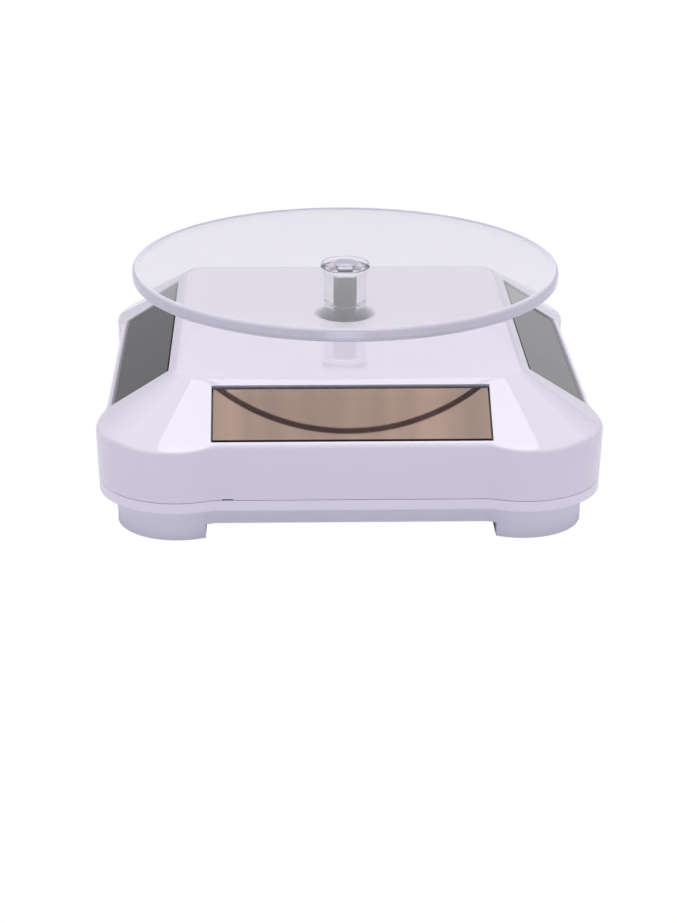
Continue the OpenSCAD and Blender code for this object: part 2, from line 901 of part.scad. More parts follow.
pad_z = board_z + board_t + wire_d / 2;
tag_z = motor_z + 1.07 + wire_d / 2;

module panel_leads_red() {
    color(red) {
        wire([[2, -45, 24.4], [6, -42, 20], [16, -34, 14], [24, -26, 12], [27, -21, 11],
            [27, -17, pad_z]]);
        wire([[45, -2, 24.4], [45.5, -3, 20], [44, -5, 14], [41.6, -7, 11], [41.5, -9, pad_z]]);
        wire([[2, 45, 24.4], [3.4, 43.4, 22.4], [14, 42.4, 22], [28, 37.4, 22.8], [32.5, 31, 21],
            [36.5, 20, 14.5], [38, 10, 11.6], [37.5, 4, pad_z]]);
        wire([[-45, -2, 24.4], [-40, -6, 25.6], [-24, -9, 27], [0, -14, 27], [14, -17.4, 22],
            [20, -15, 13], [25, -13, pad_z]]);
    }
}

module panel_leads_black() {
    color(black) {
        wire([[5, -45, 24.4], [10, -42, 20], [20, -35, 14], [29, -27, 12], [31, -21, 11],
            [31, -17, pad_z]]);
        wire([[45, 2, 24.4], [45.5, 1, 20], [44, -1, 14], [41.6, -3.4, 11], [41.5, -5.4, pad_z]]);
        wire([[5, 45, 24.4], [16, 44, 25], [30.5, 40, 25], [34.4, 32, 23], [40, 23, 18], [42, 13, 15],
            [36, 7.6, 13.6], [30.5, 6, 12], [28.3, 4, pad_z]]);
        wire([[-45, 2, 24.4], [-40, -2, 25.8], [-24, -5, 28.6], [0, -10, 28.6], [17, -13, 23],
            [21.4, -10, 13], [25, -9.6, pad_z]]);
    }
}

module battery_lead_red() {
    color(red)
        wire([[27.6, 27, 15.7], [27.58, 24.6, 15.9], [27.4, 22, 15.9], [27.1, 19, 15.8], [26, 14, 14],
            [24.8, 8, 11.5], [25, 4, 10.3], [25.4, 1, pad_z]]);
}

module battery_lead_black() {
    color(black)
        wire([[-27.6, 24.8, 13.75], [-27.5, 23.4, 15.7], [-27.4, 21.6, 16.4], [-26.8, 19.2, 18],
            [-16, 17.5, 25.2], [4, 14, 25.4], [16, 9, 19], [21, 1, 12], [25.4, -3, pad_z]]);
}

module motor_lead_red() {
    color(red)
        wire([[-2.2, -24.2, tag_z], [1, -24, 7.6], [8, -23, 9], [15, -20, 11], [18.6, -13, 12.4],
            [21, -7.4, 11.6], [25, -6.4, pad_z]]);
}

module motor_lead_black() {
    color(black)
        wire([[-26.8, -24.2, tag_z], [-29, -27, 7.4], [-25, -37, 7.6], [-14, -40.5, 7.4], [4, -36, 8.4],
            [17, -30, 8.6], [27, -27, 9.4], [33, -24, 10.6], [34.6, -19.4, pad_z]]);
}

// ---- Battery door ----

module battery_door() {
    tongue = [8, 5.2, 0.55];
    flange_half = door_half[0] + flange_w;
    color(white_abs)
        translate([0, box_y, cover_z])
            difference() {
                union() {
                    translate([-door_half[0], -door_half[1], 0])
                        cube([2 * door_half[0], 2 * door_half[1], door_t]);
                    translate([-flange_half, -door_half[1], door_t - flange_t])
                        cube([2 * flange_half, flange_l, flange_t]);
                    for (x = [-15, 15])
                        translate([x - tongue[0] / 2, door_half[1] + 1.4 - tongue[1], door_t - 0.01])
                            cube([tongue[0], tongue[1], tongue[2] + 0.2]);
                }
                // Under each tongue's tip the lip of the cover passes.
                for (x = [-15, 15])
                    translate([x - tongue[0] / 2 - past, door_half[1], -past])
                        cube([tongue[0] + 2 * past, 3, door_t + past + 0.2]);
                // Finger grooves.
                for (y = [-6, -4, -2])
                    translate([-8, y, -past]) cube([16, 0.8, past + 0.4]);
            }
}

top_shell();
bottom_cover();
solar_panel(0);  // solar_panel_front
solar_panel(1);  // solar_panel_right
solar_panel(2);  // solar_panel_back
solar_panel(3);  // solar_panel_left
case_screws();
gearbox_base();
gearbox_lid();
gearbox_screws();
lower_bush();
upper_bush();
gear_pin(gear_1_at);  // gear_pin_1
gear_pin(gear_2_at);  // gear_pin_2
gear_pin(gear_3_at);  // gear_pin_3
motor_can();
motor_end_cap();
motor_magnets();
motor_terminals();
circuit_board();
board_screws();
storage_capacitor();
blocking_diodes();
battery_cell();
battery_spring();
battery_plate();
panel_leads_red();
panel_leads_black();
battery_lead_red();
battery_lead_black();
motor_lead_red();
motor_lead_black();
battery_door();
drive_shaft();
output_gear();
drive_peg();
shaft_clip();
compound_gear(gear_1_at, gear_1_phase, 4);  // compound_gear_1
compound_gear(gear_2_at, gear_2_phase, 3);  // compound_gear_2
compound_gear(gear_3_at, gear_3_phase, 2);  // compound_gear_3
motor_shaft();
motor_pinion();
motor_armature();
armature_windings();
commutator();
display_disc();
disc_hub();
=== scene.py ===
import json
import math

import bmesh
import bpy
from mathutils import Matrix, Vector


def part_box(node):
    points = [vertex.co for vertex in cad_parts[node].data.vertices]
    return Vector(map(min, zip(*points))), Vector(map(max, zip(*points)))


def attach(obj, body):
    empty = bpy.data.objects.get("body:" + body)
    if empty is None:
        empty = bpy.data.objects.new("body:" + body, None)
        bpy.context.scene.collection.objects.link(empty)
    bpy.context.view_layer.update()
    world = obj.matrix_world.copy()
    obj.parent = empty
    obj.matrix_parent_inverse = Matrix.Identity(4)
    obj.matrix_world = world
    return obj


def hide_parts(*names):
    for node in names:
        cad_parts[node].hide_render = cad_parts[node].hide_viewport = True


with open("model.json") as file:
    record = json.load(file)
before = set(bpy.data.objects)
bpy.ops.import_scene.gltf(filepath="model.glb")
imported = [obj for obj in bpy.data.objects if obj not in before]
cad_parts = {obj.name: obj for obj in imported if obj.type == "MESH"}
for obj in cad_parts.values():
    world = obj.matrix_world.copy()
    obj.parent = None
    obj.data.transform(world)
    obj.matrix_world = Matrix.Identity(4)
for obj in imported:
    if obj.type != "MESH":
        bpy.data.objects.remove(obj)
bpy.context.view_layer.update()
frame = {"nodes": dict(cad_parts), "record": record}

NODES = frame["nodes"]
MM = 0.001

# Corners of the boxes of the CAD nodes that the new pieces stand for.
SHELL_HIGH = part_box("top_shell")[1]
DISC_LOW, DISC_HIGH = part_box("display_disc")
HUB_LOW, HUB_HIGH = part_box("disc_hub")

# The outline: a square, with a round lobe at each corner and a hollow blend beside each lobe.
SIDE = 55 * MM
LOBE_AT = 38.3 * MM
LOBE_R = SHELL_HIGH.x - LOBE_AT
BLEND_R = 6 * MM

# Heights of the seam, of the top of the upright wall and of the flat plateau.
SEAM_Z = 10.5 * MM
SKIRT_Z = 23 * MM
PLATEAU_Z = SHELL_HIGH.z

# The four slopes, and the facets that cut off their corners at FACET_TURN to a slope.
SLOPE = math.tan(math.radians(32.3))
FACET_SLOPE = math.tan(math.radians(29.3))
FACET_TURN = math.radians(25)
FACET_APEX = 37.2 * MM
PLATEAU_HALF = SIDE - (PLATEAU_Z - SKIRT_Z) / SLOPE
FACET_HALF = FACET_APEX * (math.cos(FACET_TURN) + math.sin(FACET_TURN))

# How softly the faces run into each other, and how much less steep the slopes are over the lobes.
FACET_BLEND = 0.3 * MM
CORNER_BLEND = 0.6 * MM
FAN_TOP, FAN_GROWTH = 0.45, 0.75
LOBE_EASE = 0.35
RIM_FILLET = 0.9 * MM
PLATEAU_FILLET = 1.6 * MM
SOFT_EDGE = 0.12 * MM

# The shell's wall, the draft of its upright part, and how far the inner slopes lie below the outer.
WALL = 1.8 * MM
DRAFT = 0.4 * MM
SLOPE_DROP = 1.62 * MM

# The funnel round the shaft's hole, and the boss under it.
FUNNEL_R = 7.7 * MM
FUNNEL_DEPTH = 3.3 * MM
HOLE_R = 4.4 * MM
BOSS_R = 8.5 * MM
BOSS_Z = PLATEAU_Z - 4 * MM

# The windows, and the solar panels in them.
WINDOW_AT = 47.2 * MM
WINDOW = (61.4 * MM, 15.6 * MM)
SLOPE_WALL = 1.4 * MM
PANEL_REBATE = 0.6 * MM
PANEL_BOARD = 1.2 * MM
GLASS_GAP = (0.3 * MM, 0.75 * MM)
GLASS_SINK = 0.35 * MM

# How finely the new pieces are divided.
AROUND = 480
DISC_AROUND = 256
WALL_ROWS, RIM_ROWS, SLOPE_ROWS, EDGE_ROWS, FUNNEL_ROWS = 8, 6, 18, 8, 14
SUPPORT = 1.25

# Dark and light streaks of the solar cells.
THIN_FILM = ((0.036, 0.018, 0.0105), (0.078, 0.043, 0.026))

# The light: the world's strength at the horizon and overhead, and each box's place, size and power.
HORIZON_LIGHT, ZENITH_LIGHT = 0.28, 1.2
SOFTBOXES = (
    ("ceiling_box", (0, 0.06, 1.1), (0.5, 0.5), 2.2),
    ("back_box", (0, 1.6, 0.75), (1.4, 0.7), 1.2),
    ("left_box", (-0.55, 1.4, 0.24), (0.5, 0.35), 0.04),
    ("right_box", (0.5, 1.4, 0.12), (0.5, 0.2), 0.087))


# ---- Meshes ----

def new_piece(name, verts, faces, body, material, stands_for=(), smooth_deg=35):
    """A mesh object that rides on a body, in one material, smooth except over sharp edges."""
    mesh = bpy.data.meshes.new(name)
    mesh.from_pydata(verts, [], faces)
    mesh.validate()
    piece = bpy.data.objects.new(name, mesh)
    bpy.context.scene.collection.objects.link(piece)
    shade(mesh, smooth_deg)
    mesh.materials.append(material)
    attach(piece, body)
    if stands_for:
        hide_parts(*stands_for)
    return piece


def shade(mesh, smooth_deg):
    """Smooth shading, with edges sharper than smooth_deg kept sharp."""
    bm = bmesh.new()
    bm.from_mesh(mesh)
    bmesh.ops.recalc_face_normals(bm, faces=bm.faces)
    limit = math.radians(smooth_deg)
    for face in bm.faces:
        face.smooth = True
    for edge in bm.edges:
        edge.smooth = len(edge.link_faces) != 2 or edge.calc_face_angle(0) < limit
    bm.to_mesh(mesh)
    bm.free()


def stitch(rings, closed):
    """Vertices and quads of rings of equal length, joined round and from each ring to the next."""
    count = len(rings[0])
    verts = [p for ring in rings for p in ring]
    last = len(rings) if closed else len(rings) - 1
    faces = []
    for i in range(last):
        a, b = i * count, (i + 1) % len(rings) * count
        for k in range(count):
            n = (k + 1) % count
            faces.append((a + k, a + n, b + n, b + k))
    return verts, faces


def lathe(profile, segments):
    """A closed profile of (radius, height) turned about Z."""
    rings = []
    for radius, height in profile:
        turns = [2 * math.pi * k / segments for k in range(segments)]
        rings.append([(radius * math.cos(a), radius * math.sin(a), height) for a in turns])
    return stitch(rings, closed=True)


def rounded(corners, radius, rows):
    """The (radius, height) corners of a closed profile, each rounded by a curve in so many rows between
    two supporting points, which keep the flat faces beside it flat in the shading."""
    out = []
    count = len(corners)
    for i, corner in enumerate(corners):
        here = Vector(corner)
        before = Vector(corners[i - 1]) - here
        after = Vector(corners[(i + 1) % count]) - here
        cut = min(radius, 0.36 * before.length, 0.36 * after.length)
        start = here + before.normalized() * cut
        end = here + after.normalized() * cut
        out.append(tuple(here + before.normalized() * cut * SUPPORT))
        for k in range(rows + 1):
            out.append(tuple(curve(start, here, end, k / rows)))
        out.append(tuple(here + after.normalized() * cut * SUPPORT))
    return out


def curve(start, corner, end, t):
    """A point of the quadratic curve from start to end that is tangent to the corner's sides."""
    return start * (1 - t) ** 2 + corner * (2 * t * (1 - t)) + end * t ** 2


# ---- The shell's shape ----

def outline_radius(angle, half, lobe_r):
    """Distance from the middle to the lobed square outline in one direction."""
    fold = abs((angle + math.pi / 4) % (math.pi / 2) - math.pi / 4)
    reach = lobe_r + BLEND_R
    rise = half + BLEND_R - LOBE_AT
    blend = Vector((half + BLEND_R, LOBE_AT - math.sqrt(reach ** 2 - rise ** 2)))
    touch = blend + (Vector((LOBE_AT, LOBE_AT)) - blend) * (BLEND_R / reach)
    if fold <= math.atan2(blend.y, half):
        return half / math.cos(fold)
    if fold <= math.atan2(touch.y, touch.x):
        along = blend.x * math.cos(fold) + blend.y * math.sin(fold)
        return along - math.sqrt(max(0, BLEND_R ** 2 - blend.length_squared + along ** 2))
    along = LOBE_AT * (math.cos(fold) + math.sin(fold))
    return along + math.sqrt(lobe_r ** 2 - 2 * LOBE_AT ** 2 + along ** 2)


def soft_min(a, b, width):
    """The lower of a and b, with a smooth change over a difference of width."""
    blend = max(0, width - abs(a - b)) / width
    return min(a, b) - blend * blend * width / 4


def slope_height(x, y):
    """Height of the sloping faces over a point, with the fan between each slope and its corner facet."""
    x, y = abs(x), abs(y)
    near, far = max(x, y), min(x, y)
    over = max(0, near - SIDE)
    front = PLATEAU_Z - (near - LOBE_EASE * over - PLATEAU_HALF) * SLOPE
    along = far * math.sin(FACET_TURN) + near * math.cos(FACET_TURN)
    across = near * math.sin(FACET_TURN) + far * math.cos(FACET_TURN)
    facet = PLATEAU_Z - (along - FACET_HALF) * FACET_SLOPE
    twin = PLATEAU_Z - (across - FACET_HALF) * FACET_SLOPE
    down = min(1, max(0, (near - PLATEAU_HALF) / (SIDE - PLATEAU_HALF)))
    fan = (FAN_TOP + FAN_GROWTH * down) * MM
    return soft_min(soft_min(facet, twin, FACET_BLEND), front, fan)


def plateau_radius(angle):
    """Distance from the middle to the plateau's edge in one direction."""
    fold = abs((angle + math.pi / 4) % (math.pi / 2) - math.pi / 4)
    straight = PLATEAU_HALF / math.cos(fold)
    corner = FACET_HALF / math.cos(fold - FACET_TURN)
    return soft_min(straight, corner, CORNER_BLEND)


def at(angle, radius, height):
    """The point at an angle, a distance from the Z axis and a height."""
    return (radius * math.cos(angle), radius * math.sin(angle), height)


def steps(start, end, count):
    """Numbers from start to end in count equal steps, with both ends."""
    return [start + (end - start) * i / count for i in range(count + 1)]


def skin_column(angle, inset, drop):
    """Points from the seam up the wall, over the rim and the slope, and round the plateau's edge onto the
    flat.
    """
    def wall_radius(height):
        draft = DRAFT * (SKIRT_Z - height) / (SKIRT_Z - SEAM_Z)
        return outline_radius(angle, SIDE - inset - draft, LOBE_R - inset - draft)

    def roof(radius):
        return slope_height(radius * math.cos(angle), radius * math.sin(angle)) - drop

    rim = wall_radius(SKIRT_Z)
    edge = plateau_radius(angle) - 0.3 * inset
    top = PLATEAU_Z - (WALL if inset else 0)
    rim_low = roof(rim) - RIM_FILLET
    points = [Vector((wall_radius(z), z)) for z in steps(SEAM_Z, rim_low, WALL_ROWS)]
    corner = Vector((rim, roof(rim)))
    slope_start = Vector((rim - RIM_FILLET, roof(rim - RIM_FILLET)))
    points += [curve(points[-1], corner, slope_start, t) for t in steps(0, 1, RIM_ROWS)[1:]]
    slope_end = edge + PLATEAU_FILLET
    points += [Vector((r, roof(r))) for r in steps(slope_start.x, slope_end, SLOPE_ROWS)[1:]]
    corner = Vector((edge, top))
    flat_start = Vector((edge - PLATEAU_FILLET, top))
    points += [curve(points[-1], corner, flat_start, t) for t in steps(0, 1, EDGE_ROWS)[1:]]
    return [at(angle, p.x, p.y) for p in points]


def shell_rings():
    """Rings of the whole closed shell: outer skin, dimple and hole, then the inner skin back down."""
    angles = [2 * math.pi * k / AROUND for k in range(AROUND)]
    outer = list(zip(*[skin_column(a, 0, 0) for a in angles]))
    inner = list(zip(*[skin_column(a, WALL, SLOPE_DROP) for a in angles]))
    far_ring, near_ring = 12 * MM, 2 * MM
    middle = [(FUNNEL_R + far_ring, PLATEAU_Z), (FUNNEL_R + near_ring, PLATEAU_Z)]
    for quarter in steps(0, math.pi / 2, FUNNEL_ROWS):
        reach = (FUNNEL_R - HOLE_R) * math.sin(quarter)
        middle.append((FUNNEL_R - reach, PLATEAU_Z - FUNNEL_DEPTH * (1 - math.cos(quarter))))
    middle += [(HOLE_R, BOSS_Z), (BOSS_R, BOSS_Z), (BOSS_R, PLATEAU_Z - WALL),
               (BOSS_R + far_ring, PLATEAU_Z - WALL)]
    centre = [[at(a, radius, height) for a in angles] for radius, height in middle]
    return [*outer, *centre, *reversed(inner)]


def make_panel(name, side, cells, board):
    """A solar panel: a dark board behind the window, and on it a glass with rounded edges."""
    board_half = (WINDOW[0] / 2 + PANEL_REBATE, WINDOW[1] / 2 + PANEL_REBATE)
    glass_half = (WINDOW[0] / 2 - GLASS_GAP[0], WINDOW[1] / 2 - GLASS_GAP[1])
    board_top, glass_top, shoulder = -SLOPE_WALL, -GLASS_SINK, 0.3 * SOFT_EDGE
    levels = [(board_half, 0, board_top - PANEL_BOARD),
              (board_half, 0, board_top - SOFT_EDGE),
              (board_half, SOFT_EDGE, board_top),
              (glass_half, 0, board_top),
              (glass_half, 0, glass_top - SOFT_EDGE),
              (glass_half, shoulder, glass_top - shoulder),
              (glass_half, SOFT_EDGE, glass_top)]
    place = slope_matrix(side)
    verts = []
    for half, inset, z in levels:
        x, y = half[0] - inset, half[1] - inset
        verts += [tuple(place @ Vector(p)) for p in ((-x, -y, z), (x, -y, z), (x, y, z), (-x, y, z))]
    faces = [(3, 2, 1, 0)]
    for i in range(0, 4 * len(levels) - 4, 4):
        faces += [(i + k, i + (k + 1) % 4, i + 4 + (k + 1) % 4, i + 4 + k) for k in range(4)]
    top = 4 * len(levels) - 4
    faces.append((top, top + 1, top + 2, top + 3))
    panel = new_piece(name + "_glass", verts, faces, "base", board, [name], 20)
    panel.data.materials.append(cells)
    panel.data.polygons[len(faces) - 1].material_index = 1
    return panel


def box_verts(low, high, matrix):
    """The eight corners and six faces of a box, moved by matrix."""
    xs, ys, zs = zip(low, high)
    corners = [Vector((x, y, z)) for x in xs for y in ys for z in zs]
    faces = [(0, 1, 3, 2), (4, 6, 7, 5), (0, 4, 5, 1), (2, 3, 7, 6), (0, 2, 6, 4), (1, 5, 7, 3)]
    return [tuple(matrix @ c) for c in corners], faces


def slope_matrix(side):
    """From the middle of a window on the front slope, turned to side 0 front, 1 right, 2 back, 3 left."""
    height = SKIRT_Z + (SIDE - WINDOW_AT) * SLOPE
    turn = Matrix.Rotation(side * math.pi / 2, 4, "Z")
    return turn @ Matrix.Translation((0, -WINDOW_AT, height)) @ Matrix.Rotation(math.atan(SLOPE), 4, "X")


def shell_cutter():
    """Boxes that open the four windows and the pry notch on the seam."""
    verts, faces = [], []
    through, past = 4 * MM, 1 * MM

    def add(box):
        start = len(verts)
        verts.extend(box[0])
        faces.extend([tuple(start + i for i in face) for face in box[1]])

    for side in range(4):
        low = (-WINDOW[0] / 2, -WINDOW[1] / 2, -through)
        high = (WINDOW[0] / 2, WINDOW[1] / 2, through)
        add(box_verts(low, high, slope_matrix(side)))
    notch_x, notch_half, notch_h = -27.2 * MM, 1.2 * MM, 0.3 * MM
    low = (notch_x - notch_half, -SIDE - 3 * past, SEAM_Z - past)
    high = (notch_x + notch_half, -SIDE + WALL + past, SEAM_Z + notch_h)
    add(box_verts(low, high, Matrix.Identity(4)))
    mesh = bpy.data.meshes.new("cutter")
    mesh.from_pydata(verts, [], faces)
    cutter = bpy.data.objects.new("cutter", mesh)
    bpy.context.scene.collection.objects.link(cutter)
    return cutter


def bake_modifiers(piece):
    """Puts the evaluated mesh in place of the piece's own and drops its modifiers."""
    evaluated = piece.evaluated_get(bpy.context.evaluated_depsgraph_get())
    mesh = bpy.data.meshes.new_from_object(evaluated)
    piece.modifiers.clear()
    piece.data = mesh


def bevel_edges(piece, width, segments, sharp_deg):
    """Rounds the edges of a piece that are sharper than sharp_deg."""
    bevel = piece.modifiers.new("edges", "BEVEL")
    bevel.width = width
    bevel.segments = segments
    bevel.limit_method = "ANGLE"
    bevel.angle_limit = math.radians(sharp_deg)
    bevel.harden_normals = True


def make_shell(material):
    """The upper shell as one closed skin, with the windows and the notch cut through it."""
    verts, faces = stitch(shell_rings(), closed=True)
    shell = new_piece("shell_skin", verts, faces, "base", material, ["top_shell"])
    cutter = shell_cutter()
    cut = shell.modifiers.new("windows", "BOOLEAN")
    cut.operation = "DIFFERENCE"
    cut.solver = "EXACT"
    cut.object = cutter
    bake_modifiers(shell)
    bpy.data.objects.remove(cutter)
    shade(shell.data, 30)
    bevel_edges(shell, SOFT_EDGE, 2, 60)
    return shell


# ---- The disc and its hub ----

def make_disc(clear, grey, rim, edge):
    """The disc and the hub bonded into it, as one clear body, with the hub's socket in the peg's grey.
    The rim, the hub's dish and the bore's top are painted light, and the rim's lower rounding a darker
    copy of it, painted shade.
    """
    disc_r, disc_low, top = DISC_HIGH.x, DISC_LOW.z, DISC_HIGH.z
    hub_low = HUB_LOW.z
    hub_r, rim_r = 5 * MM, HUB_HIGH.x
    bore_r, bore_top, bore_flat = 1.8 * MM, 43 * MM, 1.38 * MM
    dish_r, dish_low = 2.85 * MM, top - 1.2 * MM
    dish_foot = dish_r - 0.18 * MM
    joint, axis = 0.06 * MM, 0.01 * MM
    rim_round, rim_rows = 1.0 * MM, 6
    hub_round, hub_rows = 0.2 * MM, 3

    # The end corners of a stretch only give it its direction, so most or all of their points go.
    outside = rounded([(hub_r, hub_low), (hub_r, disc_low), (disc_r, disc_low), (disc_r, top),
                       (rim_r + joint, top)], rim_round, rim_rows)[rim_rows + 2:-rim_rows - 2]
    low = rounded([(axis, bore_top), (bore_r, bore_top), (bore_r, hub_low), (hub_r, hub_low),
                   (hub_r, disc_low)], hub_round, hub_rows)[hub_rows + 3:-hub_rows - 3]
    upper = rounded([(disc_r, top), (rim_r + joint, top), (rim_r, top - joint), (rim_r - joint, top),
                     (dish_r, top), (dish_foot, dish_low), (axis, dish_low)],
                    hub_round, hub_rows)[hub_rows + 3:-hub_rows - 3]
    profile = [(axis, bore_top), *low, *outside, *upper, (axis, dish_low)]
    verts, faces = lathe(profile, DISC_AROUND)
    disc = new_piece("disc_clear", verts, faces, "turntable", clear,
                     ["display_disc", "disc_hub"])

    def in_bore(point):
        return point.xy.length < bore_r + 0.02 * MM and point.z < bore_top + 0.01 * MM

    def in_dish(point):
        return point.xy.length < dish_r + 0.1 * MM and point.z > dish_low - 0.05 * MM

    def look_of(point):
        """The material of a face with its middle at a point. rim is a painted light, and edge a darker
        painted light that stands for shade on the lower rounding.
        """
        if in_bore(point):
            return rim if point.z > bore_top - 0.2 * MM else grey
        if in_dish(point):
            return rim
        # The rim's lower rounding takes the darker copy, painted shade; the rest of the rim takes the
        # painted light.
        if point.xy.length > disc_r - rim_round and point.z < disc_low + rim_round:
            return edge
        return rim if point.xy.length > disc_r - 1.15 * rim_round else clear

    looks = [clear, grey, rim, edge]
    for material in looks[1:]:
        disc.data.materials.append(material)
    for face in disc.data.polygons:
        face.material_index = looks.index(look_of(face.center))
    for vertex in disc.data.vertices:
        if in_bore(vertex.co):
            vertex.co.y = max(-bore_flat, min(bore_flat, vertex.co.y))
    return disc


# ---- Materials ----

def shader(name, colour, roughness, **sockets):
    """A Principled material. Extra sockets are named with _ for a space."""
    material = bpy.data.materials.new(name)
    material.use_nodes = True
    bsdf = material.node_tree.nodes["Principled BSDF"]
    bsdf.inputs["Base Color"].default_value = (*colour, 1)
    bsdf.inputs["Roughness"].default_value = roughness
    for socket, value in sockets.items():
        bsdf.inputs[socket.replace("_", " ")].default_value = value
    return material


def node(material, kind, **settings):
    """A new node, with settings for its sockets or, where no socket has the name, its properties."""
    made = material.node_tree.nodes.new(kind)
    for name, value in settings.items():
        if name in made.inputs:
            made.inputs[name].default_value = value
        else:
            setattr(made, name, value)
    return made


def link(material, output, target):
    material.node_tree.links.new(output, target)


def noise(material, scale, stretch):
    """The factor of a noise pattern with about scale features to the metre, stretched along the axes."""
    coords = node(material, "ShaderNodeTexCoord")
    mapping = node(material, "ShaderNodeMapping")
    mapping.inputs["Scale"].default_value = stretch
    pattern = node(material, "ShaderNodeTexNoise", Scale=scale, Detail=3.0)
    link(material, coords.outputs["Object"], mapping.inputs["Vector"])
    link(material, mapping.outputs["Vector"], pattern.inputs["Vector"])
    return pattern.outputs["Fac"]


def ramp(material, factor, stops):
    """A colour ramp over factor. stops are (position, colour) pairs."""
    made = node(material, "ShaderNodeValToRGB")
    elements = made.color_ramp.elements
    while len(elements) < len(stops):
        elements.new(0.5)
    for element, (position, colour) in zip(elements, stops):
        element.position = position
        element.color = (*colour, 1)
    link(material, factor, made.inputs["Fac"])
    return made.outputs["Color"]


def vary_colour(material, low, high, scale, stretch=(1, 1, 1)):
    bsdf = material.node_tree.nodes["Principled BSDF"]
    colour = ramp(material, noise(material, scale, stretch), [(0.3, low), (0.7, high)])
    link(material, colour, bsdf.inputs["Base Color"])


def vary_roughness(material, low, high, scale, stretch=(1, 1, 1)):
    bsdf = material.node_tree.nodes["Principled BSDF"]
    spread = node(material, "ShaderNodeMapRange")
    spread.inputs["To Min"].default_value = low
    spread.inputs["To Max"].default_value = high
    link(material, noise(material, scale, stretch), spread.inputs["Value"])
    link(material, spread.outputs["Result"], bsdf.inputs["Roughness"])


def add_bump(material, scale, height, stretch=(1, 1, 1), strength=0.5):
    bsdf = material.node_tree.nodes["Principled BSDF"]
    bump = node(material, "ShaderNodeBump", Strength=strength, Distance=height)
    link(material, noise(material, scale, stretch), bump.inputs["Height"])
    link(material, bump.outputs["Normal"], bsdf.inputs["Normal"])


def moulded(name, colour, roughness, bump_height=0.002 * MM):
    """Injection moulded plastic: a faint mottle, a slight change of gloss and a very fine grain."""
    material = shader(name, colour, roughness, IOR=1.5)
    vary_colour(material, tuple(c * 0.985 for c in colour), colour, 60)
    vary_roughness(material, roughness * 0.85, roughness * 1.2, 90)
    add_bump(material, 900, bump_height, strength=0.12)
    return material


def dimple_shade(material):
    """Paints the plastic darker towards the shaft's hole, where little light comes in."""
    colour_a, colour_b, colour_out = 6, 7, 2
    place = node(material, "ShaderNodeTexCoord")
    flat = node(material, "ShaderNodeVectorMath", operation="MULTIPLY")
    flat.inputs[1].default_value = (1, 1, 0)
    away = node(material, "ShaderNodeVectorMath", operation="LENGTH")
    reach = node(material, "ShaderNodeMapRange")
    reach.inputs["From Min"].default_value = HOLE_R
    reach.inputs["From Max"].default_value = FUNNEL_R
    link(material, place.outputs["Object"], flat.inputs[0])
    link(material, flat.outputs["Vector"], away.inputs[0])
    link(material, away.outputs["Value"], reach.inputs["Value"])
    deep, middle, open_air = (0.12, 0.11, 0.13), (0.3, 0.28, 0.32), (1, 1, 1)
    shade_ramp = ramp(material, reach.outputs["Result"], [(0.0, deep), (0.45, middle), (1.0, open_air)])
    base = material.node_tree.nodes["Principled BSDF"].inputs["Base Color"]
    mix = node(material, "ShaderNodeMix", data_type="RGBA", blend_type="MULTIPLY")
    mix.inputs["Factor"].default_value = 1
    link(material, base.links[0].from_socket, mix.inputs[colour_a])
    link(material, shade_ramp, mix.inputs[colour_b])
    link(material, mix.outputs[colour_out], base)
    return material


def metal(name, colour, roughness, stretch=(1, 1, 1)):
    """Metal with fine marks, which the stretch draws out along an axis."""
    material = shader(name, colour, roughness, Metallic=1.0)
    vary_colour(material, tuple(c * 0.88 for c in colour), colour, 500, stretch)
    vary_roughness(material, roughness * 0.7, roughness * 1.3, 700, stretch)
    add_bump(material, 1500, 0.003 * MM, stretch)
    return material


def solar(name, dark, light, along):
    """Thin film cells behind glass: soft streaks across the strip and a clear, mirror-like gloss."""
    stretch = (1, 0.02, 0.02) if along == "x" else (0.02, 1, 0.02)
    material = shader(name, light, 0.07, Metallic=1.0,
                      Coat_Weight=1.0, Coat_Roughness=0.015, Coat_IOR=1.5)
    vary_colour(material, dark, light, 90, stretch)
    vary_roughness(material, 0.05, 0.1, 400, stretch)
    return material


def clear(name):
    """Polished clear acrylic."""
    material = shader(name, (0.985, 0.98, 0.985), 0.015, IOR=1.49, Transmission_Weight=1.0)
    vary_roughness(material, 0.008, 0.02, 120)
    let_light_through(material)
    return material


def rim_painted_light(name, colour, clearness):
    """Painted light for the disc's moulded edge: a pale, partly clear colour stands for the light
    scattered along the sheet that comes out there.
    """
    material = shader(name, colour, 0.06, IOR=1.49, Transmission_Weight=clearness)
    vary_colour(material, tuple(c * 0.95 for c in colour), colour, 60)
    vary_roughness(material, 0.04, 0.1, 90)
    let_light_through(material)
    return material


def let_light_through(material):
    """Lets soft light cross a clear piece unbent, so that it casts no dark shadow."""
    surface = material.node_tree.nodes["Principled BSDF"].outputs["BSDF"]
    ray = node(material, "ShaderNodeLightPath")
    open_way = node(material, "ShaderNodeBsdfTransparent")
    open_way.inputs["Color"].default_value = (0.96, 0.96, 0.96, 1)
    for kind in ("Is Shadow Ray", "Is Diffuse Ray"):
        mix = node(material, "ShaderNodeMixShader")
        link(material, ray.outputs[kind], mix.inputs["Fac"])
        link(material, surface, mix.inputs[1])
        link(material, open_way.outputs["BSDF"], mix.inputs[2])
        surface = mix.outputs["Shader"]
    link(material, surface, material.node_tree.nodes["Material Output"].inputs["Surface"])


